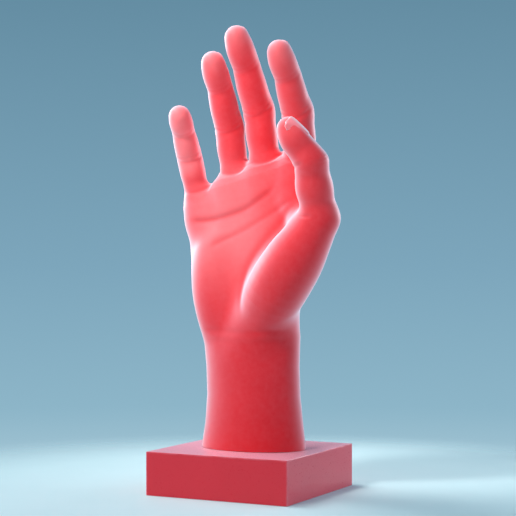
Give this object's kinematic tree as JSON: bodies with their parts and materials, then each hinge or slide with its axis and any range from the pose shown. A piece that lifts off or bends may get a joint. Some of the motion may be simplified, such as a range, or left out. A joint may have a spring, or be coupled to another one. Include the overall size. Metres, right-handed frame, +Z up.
{
  "type": "poseable prosthetic hand on a display stand",
  "caption": "Cosmetic prosthetic right hand in smooth red silicone, slightly curled fingers and thumb on hidden hinges, held by a wrist stud on a square display plinth.",
  "frame": {"origin": "centre of the plinth's flat underside, on the axis of the wrist stud", "axes": "+Z up along the wrist stud towards the fingertips, +X towards the thumb side, -Y out of the palm (the front of the plinth); the back of the hand faces +Y"},
  "size_m": [0.1162, 0.0998, 0.2861],
  "materials": {
    "skin": "satin",
    "plinth": "satin",
    "link_metal": "satin",
    "steel": "satin",
    "brass": "satin",
    "nylon": "matte",
    "core": "matte",
    "foam": "matte"
  },
  "bodies": {
    "base": {"plinth": "plinth", "stud_insert": "brass", "wrist_stud": "steel", "friction_disc": "nylon", "clamp_washer": "steel", "spring_washer": "steel", "clamp_nut": "steel"},
    "hand": {"wrist_block": "core", "wrist_bush": "brass", "palm_frame": "link_metal", "frame_screw_left": "steel", "frame_screw_right": "steel", "thumb_bracket": "link_metal", "bracket_screw": "steel", "palm_foam_front": "foam", "palm_foam_back": "foam", "palm_skin": "skin", "index_knuckle_pin": "steel", "long_knuckle_pin": "steel", "ring_knuckle_pin": "steel", "little_knuckle_pin": "steel", "thumb_knuckle_pin": "steel"},
    "index_proximal": {"index_proximal_link": "link_metal", "index_proximal_skin": "skin", "index_middle_pin": "steel"},
    "index_middle": {"index_middle_link": "link_metal", "index_middle_skin": "skin", "index_end_pin": "steel"},
    "index_distal": {"index_distal_link": "link_metal", "index_distal_skin": "skin"},
    "long_proximal": {"long_proximal_link": "link_metal", "long_proximal_skin": "skin", "long_middle_pin": "steel"},
    "long_middle": {"long_middle_link": "link_metal", "long_middle_skin": "skin", "long_end_pin": "steel"},
    "long_distal": {"long_distal_link": "link_metal", "long_distal_skin": "skin"},
    "ring_proximal": {"ring_proximal_link": "link_metal", "ring_proximal_skin": "skin", "ring_middle_pin": "steel"},
    "ring_middle": {"ring_middle_link": "link_metal", "ring_middle_skin": "skin", "ring_end_pin": "steel"},
    "ring_distal": {"ring_distal_link": "link_metal", "ring_distal_skin": "skin"},
    "little_proximal": {"little_proximal_link": "link_metal", "little_proximal_skin": "skin", "little_middle_pin": "steel"},
    "little_middle": {"little_middle_link": "link_metal", "little_middle_skin": "skin", "little_end_pin": "steel"},
    "little_distal": {"little_distal_link": "link_metal", "little_distal_skin": "skin"},
    "thumb_proximal": {"thumb_proximal_link": "link_metal", "thumb_end_pin": "steel", "thumb_proximal_skin": "skin"},
    "thumb_distal": {"thumb_distal_link": "link_metal", "thumb_distal_skin": "skin"}
  },
  "joints": [
    {"name": "wrist_turn", "type": "hinge", "parent": "base", "child": "hand", "pos_m": [0, 0, 0.0272], "axis": [0, 0, 1], "range_deg": [-180, 180]},
    {"name": "index_knuckle_hinge", "type": "hinge", "parent": "hand", "child": "index_proximal", "pos_m": [0.03507, -0.00192, 0.21376], "axis": [0.9939, -0.1045, -0.0347], "range_deg": [-10, 30]},
    {"name": "index_middle_hinge", "type": "hinge", "parent": "index_proximal", "child": "index_middle", "pos_m": [0.03526, -0.00722, 0.23512], "axis": [0.9939, -0.1045, -0.0347], "range_deg": [-10, 45]},
    {"name": "index_end_hinge", "type": "hinge", "parent": "index_middle", "child": "index_distal", "pos_m": [0.0347, -0.01926, 0.25529], "axis": [0.9939, -0.1045, -0.0347], "range_deg": [-5, 30]},
    {"name": "long_knuckle_hinge", "type": "hinge", "parent": "hand", "child": "long_proximal", "pos_m": [0.00873, 0.0002, 0.21229], "axis": [0.9994, 0, 0.0349], "range_deg": [-10, 45]},
    {"name": "long_middle_hinge", "type": "hinge", "parent": "long_proximal", "child": "long_middle", "pos_m": [0.00784, -0.00565, 0.23761], "axis": [0.9994, 0, 0.0349], "range_deg": [-10, 50]},
    {"name": "long_end_hinge", "type": "hinge", "parent": "long_middle", "child": "long_distal", "pos_m": [0.00697, -0.02015, 0.26271], "axis": [0.9994, 0, 0.0349], "range_deg": [-5, 30]},
    {"name": "ring_knuckle_hinge", "type": "hinge", "parent": "hand", "child": "ring_proximal", "pos_m": [-0.01203, -0.00107, 0.20623], "axis": [0.9985, 0.0523, 0.0174], "range_deg": [-10, 45]},
    {"name": "ring_middle_hinge", "type": "hinge", "parent": "ring_proximal", "child": "ring_middle", "pos_m": [-0.0121, -0.00675, 0.22748], "axis": [0.9985, 0.0523, 0.0174], "range_deg": [-10, 50]},
    {"name": "ring_end_hinge", "type": "hinge", "parent": "ring_middle", "child": "ring_distal", "pos_m": [-0.01185, -0.01914, 0.25034], "axis": [0.9985, 0.0523, 0.0174], "range_deg": [-5, 30]},
    {"name": "little_knuckle_hinge", "type": "hinge", "parent": "hand", "child": "little_proximal", "pos_m": [-0.03729, -0.00624, 0.19465], "axis": [0.8831, 0.4226, 0.2039], "range_deg": [-10, 45]},
    {"name": "little_middle_hinge", "type": "hinge", "parent": "little_proximal", "child": "little_middle", "pos_m": [-0.03864, -0.01058, 0.20947], "axis": [0.8831, 0.4226, 0.2039], "range_deg": [-10, 50]},
    {"name": "little_end_hinge", "type": "hinge", "parent": "little_middle", "child": "little_distal", "pos_m": [-0.03802, -0.01912, 0.2245], "axis": [0.8831, 0.4226, 0.2039], "range_deg": [-5, 30]},
    {"name": "thumb_knuckle_hinge", "type": "hinge", "parent": "hand", "child": "thumb_proximal", "pos_m": [0.0575, -0.021, 0.17], "axis": [-0.0955, 0.9194, 0.3816], "range_deg": [-32, 20]},
    {"name": "thumb_end_hinge", "type": "hinge", "parent": "thumb_proximal", "child": "thumb_distal", "pos_m": [0.057, -0.035, 0.2036], "axis": [-0.0955, 0.9194, 0.3816], "range_deg": [-40, 15]}
  ]
}
